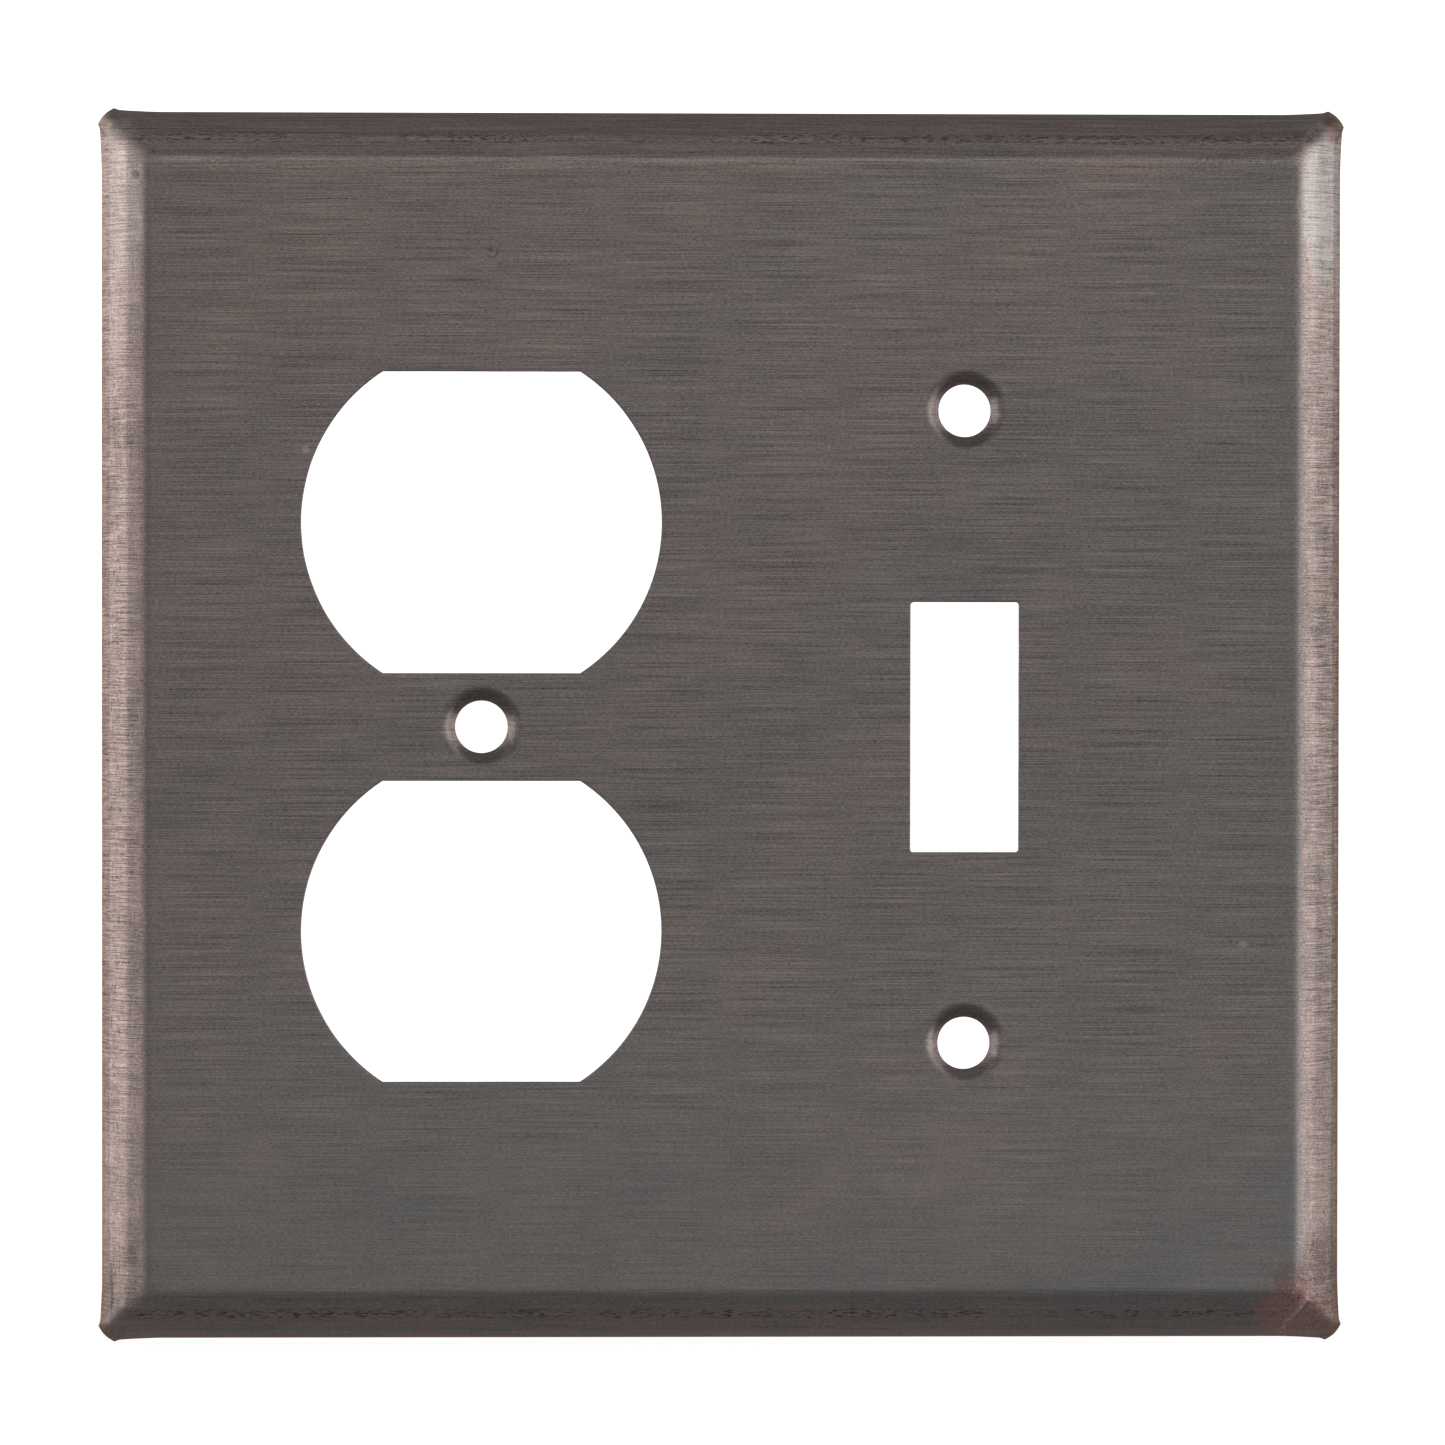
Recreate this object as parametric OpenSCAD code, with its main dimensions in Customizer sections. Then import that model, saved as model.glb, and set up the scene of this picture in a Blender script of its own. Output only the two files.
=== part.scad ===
// Two-gang wall plate for one duplex receptacle and one toggle switch.
// It is a single stamping of thin sheet: a flat face, a rim that slopes back to the wall on all
// four sides, and drawn corners that flare slightly and end in small cut tips.
// Frame: +Z is up, the face looks along -Y, and the back edge of the rim lies on the wall at
// y = 0. The origin is the centre of the plate on the wall plane.

/* [Plate] */
// Width over the straight edges of the rim
plate_w = 118.7; // [116:0.1:124]
// Height over the straight edges of the rim
plate_h = 117.4; // [114:0.1:124]
// Depth from the wall to the front of the face
plate_depth = 5.5; // [5.2:0.1:6.4]
// Thickness of the sheet
sheet_t = 0.9; // [0.6:0.1:1.1]

/* [Rim] */
// Width of the steep skirt next to the wall, seen from the front
skirt_w = 0.9; // [0.7:0.1:1.1]
// Slope of the skirt, measured from the wall plane
skirt_angle = 69; // [64:1:72]
// Width of the middle slope, seen from the front
slope_w = 1.7; // [1.4:0.1:2]
// Slope of the middle slope, measured from the wall plane
slope_angle = 50; // [44:1:54]
// Slope of the shoulder that meets the face, measured from the wall plane
shoulder_angle = 31; // [26:1:36]
// Outer radius of the bend between the shoulder and the face
bend_r = 1.5; // [1.3:0.1:2]

/* [Corners] */
// How far the rim flares outwards at each corner
flare = 0.45; // [0.2:0.05:0.6]
// Length of the flare along each side
flare_len = 6; // [4:0.5:10]
// Leg of the 45 degree cut across each corner tip
tip_cut = 1.3; // [1:0.05:2.2]

/* [Device spacing] */
// Distance between the centre lines of the two wiring devices
gang_pitch = 46.04; // [46:0.01:46.1]
// Distance between the two screws of the toggle switch
switch_screw_pitch = 60.33; // [60.3:0.01:60.36]
// Distance between the centres of the two receptacle openings
receptacle_pitch = 38.95; // [38.8:0.05:39.1]

/* [Openings] */
// Diameter of the round sides of a receptacle opening
receptacle_d = 34.3; // [33.8:0.1:34.8]
// Distance between the flat top and bottom of a receptacle opening
receptacle_flats = 28.7; // [28:0.1:29.2]
// Width of the toggle slot
slot_w = 10.35; // [9.5:0.05:11]
// Height of the toggle slot
slot_h = 23.85; // [23:0.05:25]
// Corner radius of the toggle slot
slot_r = 0.3; // [0.2:0.05:1]

/* [Screw dimples] */
// Diameter of the screw holes
screw_hole_d = 5; // [4:0.1:5.4]
// Diameter of a dimple where it meets the face
dimple_d = 6.9; // [6.5:0.1:8]
// Depth of a dimple's cone
dimple_depth = 0.9; // [0.6:0.1:1.2]
// Width of metal left round a screw hole at the back of its dimple
dimple_lip = 0.8; // [0.6:0.1:1]

/* [Hidden] */
$fn = 96;
overrun = 2;
gang_x = gang_pitch / 2;
switch_screw_z = switch_screw_pitch / 2;
receptacle_z = receptacle_pitch / 2;
skirt_d = skirt_w * tan(skirt_angle);
slope_d = slope_w * tan(slope_angle);
shoulder_d = plate_depth - skirt_d - slope_d;
shoulder_w = shoulder_d / tan(shoulder_angle);
rim_w = skirt_w + slope_w + shoulder_w;
flare_angle = atan(flare / flare_len);
flare_bar = 4 * flare_len;
bend_steps = 4;
tip_reach = (plate_w + plate_h) / 2 + 2 * flare - tip_cut;
dimple_back = dimple_depth + sheet_t;

// Direction at angle a from straight forwards, leaning outwards
function outward(a) = [sin(a), cos(a)];

// Step from a bend on the front surface to the same bend on the back surface, where slopes of
// angle a and b meet: both surfaces stay one sheet thickness apart.
function sheet_step(a, b) =
    sheet_t * outward((a + b) / 2) / cos((a - b) / 2);

// Half of a section through the plate. x runs outwards from the middle and y runs forwards from
// the wall. back is 0 for the front surface of the sheet and 1 for its back surface, which
// carries on past the wall so that it cuts the rim open.
module half_section(half, back) {
    bend_1 = [half - skirt_w, skirt_d] - back * sheet_step(skirt_angle, slope_angle);
    bend_2 = [half - skirt_w - slope_w, skirt_d + slope_d]
        - back * sheet_step(slope_angle, shoulder_angle);
    foot_x = half - back * (sheet_t / sin(skirt_angle) - overrun / tan(skirt_angle));
    arc_r = bend_r - back * sheet_t;
    arc_centre = [half - rim_w - bend_r * tan(shoulder_angle / 2), plate_depth - bend_r];
    polygon([
        [0, -back * overrun],
        [foot_x, -back * overrun],
        bend_1,
        bend_2,
        for (i = [bend_steps : -1 : 0])
            arc_centre + arc_r * outward(shoulder_angle * i / bend_steps),
        [0, plate_depth - back * sheet_t]
    ]);
}

// A bar with that section along Z. Its right side, at +X, is the rim.
module right_bar(half, back, length) {
    mirror([0, 1, 0]) linear_extrude(length, center = true) half_section(half, back);
}

// A bar turned so that its rim is at the top, at +Z
module turned_up() {
    rotate([0, -90, 0]) children();
}

// The rim near the top right corner, where both sides lean outwards
module flared_corner(back) {
    intersection() {
        translate([plate_w / 2, 0, plate_h / 2 - flare_len]) rotate([0, flare_angle, 0])
            translate([-plate_w / 2, 0, 0]) right_bar(plate_w / 2, back, flare_bar);
        translate([plate_w / 2 - flare_len, 0, plate_h / 2]) rotate([0, -flare_angle, 0])
            translate([0, 0, -plate_h / 2])
                turned_up() right_bar(plate_h / 2, back, flare_bar);
        translate([plate_w / 2 - flare_len, -plate_depth - overrun, plate_h / 2 - flare_len])
            cube([2 * flare_len, plate_depth + 3 * overrun, 2 * flare_len]);
    }
}

// Everything on the plate's side of the 45 degree cut across the top right tip
module tip_limit(back) {
    reach = tip_reach - back * sheet_t * sqrt(2);
    wide = plate_w / 2 + flare + 2 * overrun;
    high = plate_h / 2 + flare + 2 * overrun;
    rotate([90, 0, 0]) linear_extrude(4 * plate_depth, center = true) polygon([
        [-overrun, -overrun],
        [wide, -overrun],
        [wide, reach - wide],
        [reach - high, high],
        [-overrun, high]
    ]);
}

// The top right quarter of the solid under one surface of the sheet: the front surface, or the
// hollow behind it
module quarter_form(back) {
    intersection() {
        union() {
            intersection() {
                right_bar(plate_w / 2, back, plate_h + 2 * overrun);
                turned_up() right_bar(plate_h / 2, back, plate_w + 2 * overrun);
            }
            flared_corner(back);
        }
        tip_limit(back);
    }
}

// All four quarters
module surface_form(back) {
    for (side = [0, 1], end = [0, 1])
        mirror([side, 0, 0]) mirror([0, 0, end]) quarter_form(back);
}

// Puts its children on the face at x, z with the first direction pointing back to the wall
module on_face(x, z) {
    translate([x, -plate_depth, z]) rotate([-90, 0, 0]) children();
}

// Every screw hole's place
module at_screws() {
    on_face(-gang_x, 0) children();
    for (end = [-1, 1]) on_face(gang_x, end * switch_screw_z) children();
}

// Metal pushed back round a screw hole
module dimple_boss() {
    translate([0, 0, sheet_t / 2])
        cylinder(
            h = dimple_back - sheet_t / 2,
            d1 = dimple_d + 2 * sheet_t,
            d2 = screw_hole_d + 2 * dimple_lip
        );
}

// Cone and bore that open a dimple
module dimple_cut() {
    slope = (dimple_d - screw_hole_d) / 2 / dimple_depth;
    translate([0, 0, -overrun / 2])
        cylinder(
            h = dimple_depth + overrun / 2,
            d1 = dimple_d + overrun * slope,
            d2 = screw_hole_d
        );
    translate([0, 0, -overrun])
        cylinder(h = plate_depth + overrun, d = screw_hole_d);
}

// Round opening with a flat top and bottom, for one half of a duplex receptacle
module receptacle_opening() {
    linear_extrude(plate_depth + 2 * overrun, center = true) intersection() {
        circle(d = receptacle_d);
        square([receptacle_d + overrun, receptacle_flats], center = true);
    }
}

// Upright slot for the switch's toggle
module toggle_slot() {
    linear_extrude(plate_depth + 2 * overrun, center = true) {
        square([slot_w, slot_h - 2 * slot_r], center = true);
        square([slot_w - 2 * slot_r, slot_h], center = true);
        for (side = [-1, 1], end = [-1, 1])
            translate([side * (slot_w / 2 - slot_r), end * (slot_h / 2 - slot_r)])
                circle(r = slot_r);
    }
}

// The whole stamping
module cover_plate() {
    color("#5f5a57") difference() {
        union() {
            difference() {
                surface_form(0);
                surface_form(1);
            }
            at_screws() dimple_boss();
        }
        at_screws() dimple_cut();
        for (end = [-1, 1]) on_face(-gang_x, end * receptacle_z) receptacle_opening();
        on_face(gang_x, 0) toggle_slot();
    }
}

cover_plate();
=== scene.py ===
"""Two-gang wall plate of dark bronze sheet, for one duplex receptacle and one toggle switch.

The plate is one stamping: a brushed flat face, a rim that slopes back to the wall on all four
sides and drawn corners with small cut tips. +Z is up, the face looks along -Y, and the back edge
of the rim lies on the wall at y = 0. Lengths are in metres.
"""

import logging
import math
from dataclasses import dataclass, field
from enum import Enum

import bpy
import numpy as np
from mathutils import Matrix, Vector, noise
from mathutils.geometry import delaunay_2d_cdt


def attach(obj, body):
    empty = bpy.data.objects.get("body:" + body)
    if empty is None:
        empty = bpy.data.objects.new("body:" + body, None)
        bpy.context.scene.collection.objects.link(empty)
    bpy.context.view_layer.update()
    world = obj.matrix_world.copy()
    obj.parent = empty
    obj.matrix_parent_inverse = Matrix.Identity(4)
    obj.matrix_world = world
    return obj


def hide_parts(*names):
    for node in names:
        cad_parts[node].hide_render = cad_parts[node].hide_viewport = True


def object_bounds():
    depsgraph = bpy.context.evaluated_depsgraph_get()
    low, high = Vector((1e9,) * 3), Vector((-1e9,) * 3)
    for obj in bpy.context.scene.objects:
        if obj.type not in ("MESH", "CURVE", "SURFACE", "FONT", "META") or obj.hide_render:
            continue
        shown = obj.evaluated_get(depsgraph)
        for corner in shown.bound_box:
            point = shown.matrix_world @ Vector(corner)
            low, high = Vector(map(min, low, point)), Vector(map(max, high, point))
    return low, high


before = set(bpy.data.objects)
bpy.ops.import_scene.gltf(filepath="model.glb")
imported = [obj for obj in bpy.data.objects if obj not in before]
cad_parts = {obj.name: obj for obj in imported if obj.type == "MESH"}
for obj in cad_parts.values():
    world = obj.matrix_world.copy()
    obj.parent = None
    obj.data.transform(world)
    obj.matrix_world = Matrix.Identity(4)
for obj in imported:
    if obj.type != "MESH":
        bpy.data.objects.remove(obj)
CAD_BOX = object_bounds()

MM = 0.001
LOG = logging.getLogger("wall_plate")
CREASE_SHARE = "crease_share"
FRONT_SHARE = "front_share"

Socket = bpy.types.NodeSocket
Amount = Socket | float
Colour = tuple[float, float, float]
Place = tuple[float, float]


class Surface(Enum):
    """Which way a strip or sheet of faces looks."""

    FRONT = 1
    BACK = -1


def smooth_step(value: np.ndarray, low: float, high: float) -> np.ndarray:
    """Eases from 0 to 1.

    Args:
        value: What is eased.
        low: Where the result leaves 0.
        high: Where the result reaches 1.

    Returns:
        The eased share for each value.
    """
    share = np.clip((value - low) / (high - low), 0, 1)
    return share * share * (3 - 2 * share)


def bent_line(corners: list[Place], radii: list[float], longest: float, steps: int = 5) -> np.ndarray:
    """Rounds the bends of a line and divides it into short lengths.

    Args:
        corners: The line's ends and its sharp bends.
        radii: Radius at each bend, one fewer than the spans.
        longest: Longest length left between two points.
        steps: Points along each rounded bend.

    Returns:
        The points of the rounded line, in order.
    """
    points = [np.array(corners[0], float)]
    for index, radius in enumerate(radii, start=1):
        before, here, after = (np.array(corners[index + k], float) for k in (-1, 0, 1))
        way_in = (here - before) / np.linalg.norm(here - before)
        way_out = (after - here) / np.linalg.norm(after - here)
        turn = math.atan2(way_in[0] * way_out[1] - way_in[1] * way_out[0], float(way_in @ way_out))
        reach = radius * math.tan(abs(turn) / 2)
        side = math.copysign(1.0, turn)
        centre = here - way_in * reach + side * radius * np.array([-way_in[1], way_in[0]])
        spoke = here - way_in * reach - centre
        for step in range(steps + 1):
            angle = turn * step / steps
            turned = np.array([
                spoke[0] * math.cos(angle) - spoke[1] * math.sin(angle),
                spoke[0] * math.sin(angle) + spoke[1] * math.cos(angle),
            ])
            points.append(centre + turned)
    points.append(np.array(corners[-1], float))
    line = [points[0]]
    for start, end in zip(points, points[1:]):
        parts = max(1, math.ceil(float(np.linalg.norm(end - start)) / longest))
        line += [start + (end - start) * part / parts for part in range(1, parts + 1)]
    return np.array(line)


def inside(loop: np.ndarray, points: np.ndarray) -> np.ndarray:
    """Tests which points lie inside a closed loop.

    Args:
        loop: The loop's corners, in x and z.
        points: The points to test, in x and z.

    Returns:
        True for each point inside.
    """
    start, end = loop, np.roll(loop, -1, axis=0)
    x, z = points[:, :1], points[:, 1:]
    spans = (start[:, 1] > z) != (end[:, 1] > z)
    rise = np.where(end[:, 1] == start[:, 1], 1.0, end[:, 1] - start[:, 1])
    crossing = start[:, 0] + (z - start[:, 1]) * (end[:, 0] - start[:, 0]) / rise
    return (np.count_nonzero(spans & (x < crossing), axis=1) % 2) == 1


class SheetMesh:
    """Gathers rings of points and the faces between them into one mesh."""

    def __init__(self) -> None:
        """Starts with nothing."""
        self.points: list[np.ndarray] = []
        self.faces: list[tuple[int, ...]] = []
        self.count = 0

    def add(self, points: np.ndarray) -> np.ndarray:
        """Adds points.

        Args:
            points: The points, in x, y and z.

        Returns:
            The index of each new point.
        """
        self.points.append(points)
        self.count += len(points)
        return np.arange(self.count - len(points), self.count)

    def ring(self, loop: np.ndarray, height: float) -> np.ndarray:
        """Adds a loop that lies flat, that far forwards from the wall.

        Args:
            loop: The loop, in x and z.
            height: Its distance from the wall.

        Returns:
            The index of each new point.
        """
        return self.add(np.column_stack([loop[:, 0], np.full(len(loop), -height), loop[:, 1]]))

    def bridge(self, outer: np.ndarray, inner: np.ndarray) -> None:
        """Joins two rings with a strip of four-sided faces that look along the front.

        Args:
            outer: Ring that the strip starts from.
            inner: Ring that it ends at.
        """
        ahead, inner_ahead = np.roll(outer, -1), np.roll(inner, -1)
        self.faces += list(zip(outer.tolist(), ahead.tolist(), inner_ahead.tolist(), inner.tolist()))

    def bridge_all(self, rings: list[np.ndarray]) -> None:
        """Joins each ring to the next."""
        for outer, inner in zip(rings, rings[1:]):
            self.bridge(outer, inner)

    def fill(
        self, outer: np.ndarray, holes: list[np.ndarray], height: float, spacing: float, looks: Surface
    ) -> np.ndarray:
        """Fills the flat sheet between an outer ring and the rings of its holes.

        Args:
            outer: Ring round the outside.
            holes: Ring round each hole.
            height: The sheet's distance from the wall.
            spacing: Distance between the points inside the sheet.
            looks: Which way the faces look.

        Returns:
            The index of each new point inside the sheet.
        """
        known = np.vstack(self.points)
        loops = [known[ring][:, [0, 2]] for ring in [outer, *holes]]
        edge = np.vstack(loops)
        low, high = loops[0].min(axis=0), loops[0].max(axis=0)
        rows = np.arange(low[1], high[1], spacing * math.sqrt(3) / 2)
        columns = np.arange(low[0], high[0], spacing)
        grid = np.array([
            (x + (row % 2) * spacing / 2, z) for row, z in enumerate(rows) for x in columns
        ])
        grid = grid[inside(loops[0], grid)]
        for loop in loops[1:]:
            grid = grid[~inside(loop, grid)]
        gap = np.array([np.min(np.linalg.norm(edge - point, axis=1)) for point in grid])
        grid = grid[gap > spacing * 0.45]
        ring_index = np.concatenate([outer, *holes])
        added = self.ring(grid, height)
        index = np.concatenate([ring_index, added])
        ends, first = [], 0
        for loop in loops:
            last = first + len(loop) - 1
            ends += [(k, k + 1) for k in range(first, last)] + [(last, first)]
            first = last + 1
        places = np.vstack([edge, grid])
        made = delaunay_2d_cdt([Vector(place / MM) for place in places], ends, [], 0, 1e-6)
        source = [origins[0] for origins in made[3]]
        triangles = np.array([[source[corner] for corner in face] for face in made[2]])
        middles = places[triangles].mean(axis=1)
        keep = inside(loops[0], middles)
        for loop in loops[1:]:
            keep &= ~inside(loop, middles)
        for triangle in triangles[keep]:
            a, b, c = places[triangle]
            area = (b[0] - a[0]) * (c[1] - a[1]) - (b[1] - a[1]) * (c[0] - a[0])
            order = triangle if (area > 0) == (looks is Surface.FRONT) else triangle[::-1]
            self.faces.append(tuple(int(index[corner]) for corner in order))
        return added


@dataclass(frozen=True)
class RimOutline:
    """The plate's outline and the same line further in, with its flared corners and cut tips."""

    width: float = 118.7 * MM
    height: float = 117.4 * MM
    flare: float = 0.30 * MM
    flare_length: float = 6 * MM
    flare_ease: float = 1.6
    tip_leg: float = 1.15 * MM
    tip_bulge: float = 0.20 * MM
    face_radius: float = 0.9 * MM
    radius_swell: float = 0.65 * MM
    face_inset: float = 4.9 * MM
    tip_depth: float = 0.8 * MM
    nub: float = 0.14 * MM
    nub_spread: float = 0.32 * MM
    nub_depth: float = 1.1 * MM
    side_points: int = 56
    flare_points: int = 40
    corner_points: int = 24

    def _stations(self, half: float) -> np.ndarray:
        """Shares of the way from a corner to the middle of a side, dense near the corner."""
        far = np.linspace(half, self.flare_length, self.side_points, endpoint=False)
        near = np.linspace(self.flare_length, self.tip_leg, self.flare_points)
        return (np.concatenate([far, near]) - self.tip_leg) / (half - self.tip_leg)

    def _lean(self, back_from_corner: np.ndarray, start: float, inset: float) -> np.ndarray:
        """How far the rim leans outwards, with the small nub beside the cut tip.

        Args:
            back_from_corner: Distance of each point from the corner.
            start: Where the corner's own curve starts.
            inset: How far in the line lies.

        Returns:
            The lean at each point.
        """
        share = np.clip(1 - back_from_corner / self.flare_length, 0, 1)
        fade = 1 - float(smooth_step(np.array(inset), 1.5 * MM, self.face_inset))
        bump = np.exp(-(((back_from_corner - start) / self.nub_spread) ** 2))
        tip = 1 - float(smooth_step(np.array(inset), 0.1 * MM, self.nub_depth))
        return self.flare * share**self.flare_ease * fade + self.nub * bump * tip

    def loop(self, inset: float) -> np.ndarray:
        """Draws the line that far in from the straight edges.

        Args:
            inset: Distance in from the edges.

        Returns:
            The loop in x and z, turning from +X towards +Z.
        """
        half_x, half_z = self.width / 2, self.height / 2
        share = min(max(inset, 0) / self.face_inset, 1)
        swell = 4 * self.radius_swell * share * (1 - share)
        radius = self.tip_leg + (self.face_radius - self.tip_leg) * share + swell
        start = max(inset, 0) + radius
        up = start + (half_z - start) * self._stations(half_z)
        along = start + (half_x - start) * self._stations(half_x)
        right = np.column_stack([half_x - inset + self._lean(up, start, inset), half_z - up])
        top = np.column_stack([half_x - along, half_z - inset + self._lean(along, start, inset)])
        begin, end = right[-1], top[-1]
        turn = np.linspace(0, 1, self.corner_points + 2)[1:-1, None]
        bulge = self.tip_bulge * np.sin(turn * math.pi) / math.sqrt(2)
        straight = begin + (end - begin) * turn + bulge
        centre, reach = np.array([end[0], begin[1]]), np.array([begin[0] - end[0], end[1] - begin[1]])
        angle = turn[:, 0] * math.pi / 2
        curved = centre + reach * np.column_stack([np.cos(angle), np.sin(angle)])
        roundness = float(smooth_step(np.array(inset), 0.0, self.tip_depth))
        corner = straight + (curved - straight) * roundness
        quarter = np.vstack([right, corner, top[::-1]])
        return np.vstack([
            quarter[:-1],
            (quarter * [-1, 1])[::-1][:-1],
            -quarter[:-1],
            (quarter * [1, -1])[::-1][:-1],
        ])


@dataclass(frozen=True)
class RimSection:
    """A cut through the rim: the steep skirt at the wall, the middle slope and the shoulder."""

    depth: float = 5.5 * MM
    sheet: float = 0.9 * MM
    skirt_width: float = 0.9 * MM
    skirt_angle: float = 69
    slope_width: float = 1.7 * MM
    slope_angle: float = 50
    shoulder_angle: float = 31
    burr_radius: float = 0.07 * MM
    skirt_bend: float = 1.1 * MM
    slope_bend: float = 2.6 * MM
    face_bend: float = 2.4 * MM
    back_bend: float = 0.15 * MM
    face_run: float = 0.9 * MM
    fine_step: float = 0.2 * MM
    back_step: float = 0.6 * MM

    def bends(self) -> list[Place]:
        """The skirt's, the slope's and the face's bend: inset and distance from the wall."""
        skirt_rise = self.skirt_width * math.tan(math.radians(self.skirt_angle))
        slope_rise = self.slope_width * math.tan(math.radians(self.slope_angle))
        rest = self.depth - skirt_rise - slope_rise
        foot = self.skirt_width + self.slope_width
        return [
            (self.skirt_width, skirt_rise),
            (foot, skirt_rise + slope_rise),
            (foot + rest / math.tan(math.radians(self.shoulder_angle)), self.depth),
        ]

    def front(self) -> np.ndarray:
        """The front surface from under the foot to the face: inset and distance from the wall."""
        skirt, slope, face = self.bends()
        corners = [(0.2 * MM, 0.0), (0.0, 0.0), skirt, slope, face, (face[0] + self.face_run, face[1])]
        radii = [self.burr_radius, self.skirt_bend, self.slope_bend, self.face_bend]
        return bent_line(corners, radii, self.fine_step)

    def back(self) -> np.ndarray:
        """The back surface, one sheet thickness behind: inset and distance from the wall."""
        angles = [self.skirt_angle, self.slope_angle, self.shoulder_angle, 0.0]
        moved = []
        for (inset, height), steep, flat in zip(self.bends(), angles, angles[1:]):
            middle, half = math.radians((steep + flat) / 2), math.radians((steep - flat) / 2)
            step = self.sheet / math.cos(half)
            moved.append((inset + step * math.sin(middle), height - step * math.cos(middle)))
        foot = self.sheet / math.sin(math.radians(self.skirt_angle))
        corners = [(foot - 0.2 * MM, 0.0), (foot, 0.0), *moved]
        corners.append((moved[-1][0] + self.face_run, moved[-1][1]))
        radii = [self.burr_radius, *[self.back_bend] * 3]
        return bent_line(corners, radii, self.back_step, steps=2)


@dataclass(frozen=True)
class Opening:
    """Something pierced through the face, with a slightly rolled front edge."""

    centre: Place
    roll: float = 0.09 * MM
    margin: float = 0.4 * MM

    def shape(self, grow: float) -> np.ndarray:
        """The opening's outline round its own centre, made larger all round by grow."""
        raise NotImplementedError

    def loop(self, grow: float) -> np.ndarray:
        """The outline in its place on the plate, made larger all round by grow."""
        return self.shape(grow) + np.array(self.centre)

    def front_depth(self) -> float:
        """How far in the opening's rolled edge reaches."""
        return self.roll

    def rings(self, sheet: float) -> list[Place]:
        """How much larger and how deep each ring is, from the front face to the back.

        Args:
            sheet: Thickness of the sheet.

        Returns:
            Growth and depth of each ring.
        """
        rolled = [
            (self.roll * (1 - math.sin(angle)), self.roll * (1 - math.cos(angle)))
            for angle in np.linspace(0, math.pi / 2, 5)
        ]
        return [(self.margin, 0.0), *rolled, (0.0, sheet / 2), (0.0, sheet), (self.margin, sheet)]


@dataclass(frozen=True)
class ReceptacleOpening(Opening):
    """Round opening with a flat top and bottom."""

    diameter: float = 34.3 * MM
    flats: float = 28.7 * MM
    arc_points: int = 64
    flat_points: int = 18

    def shape(self, grow: float) -> np.ndarray:
        """Two arcs and two flats, made larger all round by grow."""
        radius, half = self.diameter / 2 + grow, self.flats / 2 + grow
        end = math.asin(half / radius)
        angles = np.linspace(-end, end, self.arc_points, endpoint=False)
        side = radius * np.column_stack([np.cos(angles), np.sin(angles)])
        reach = radius * math.cos(end)
        flat = np.linspace(reach, -reach, self.flat_points, endpoint=False)
        half_loop = np.vstack([side, np.column_stack([flat, np.full(len(flat), half)])])
        return np.vstack([half_loop, -half_loop])


@dataclass(frozen=True)
class ToggleSlot(Opening):
    """Upright slot with small rounded corners."""

    width: float = 10.35 * MM
    height: float = 23.85 * MM
    radius: float = 0.3 * MM
    side_points: int = 16
    corner_points: int = 6

    def shape(self, grow: float) -> np.ndarray:
        """A rounded rectangle, made larger all round by grow."""
        points = []
        reach = np.array([self.width, self.height]) / 2 - self.radius
        corners = [(1, 1), (-1, 1), (-1, -1), (1, -1)]
        for quarter, (side, end) in enumerate(corners):
            angles = (quarter + np.linspace(0, 1, self.corner_points)) * math.pi / 2
            spoke = np.column_stack([np.cos(angles), np.sin(angles)]) * (self.radius + grow)
            points.append(spoke + reach * [side, end])
        loop = []
        for here, ahead in zip(points, points[1:] + points[:1]):
            run = np.linspace(0, 1, self.side_points + 1)[1:-1, None]
            loop += [here, here[-1] + (ahead[0] - here[-1]) * run]
        return np.vstack(loop)


@dataclass(frozen=True)
class ScrewDimple(Opening):
    """Screw hole in the bottom of a soft cone pushed back into the sheet."""

    hole: float = 5.0 * MM
    mouth: float = 6.7 * MM
    cone_depth: float = 0.9 * MM
    lip: float = 0.8 * MM
    shoulder: float = 1.5 * MM
    circle_points: int = 96

    def shape(self, grow: float) -> np.ndarray:
        """A circle, made larger all round by grow."""
        angles = np.linspace(0, 2 * math.pi, self.circle_points, endpoint=False)
        return (self.hole / 2 + grow) * np.column_stack([np.cos(angles), np.sin(angles)])

    def front_depth(self) -> float:
        """How far in the dimple's cone reaches."""
        return self.cone_depth

    def rings(self, sheet: float) -> list[Place]:
        """Rings down the cone, through the hole and back up over the boss behind the face.

        Args:
            sheet: Thickness of the sheet.

        Returns:
            Growth and depth of each ring.
        """
        mouth = (self.mouth - self.hole) / 2
        bottom, flat = self.cone_depth, (self.mouth + 2 * sheet - self.hole) / 2
        corners = [
            (mouth + 0.75 * MM, 0.0), (mouth, 0.0), (0.0, bottom), (0.0, bottom + sheet),
            (self.lip, bottom + sheet), (flat, sheet), (flat + 0.2 * MM, sheet),
        ]
        radii = [self.shoulder, 0.12 * MM, 0.07 * MM, 0.25 * MM, 0.25 * MM]
        return [(float(grow), float(depth)) for grow, depth in bent_line(corners, radii, 0.3 * MM)]


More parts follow.
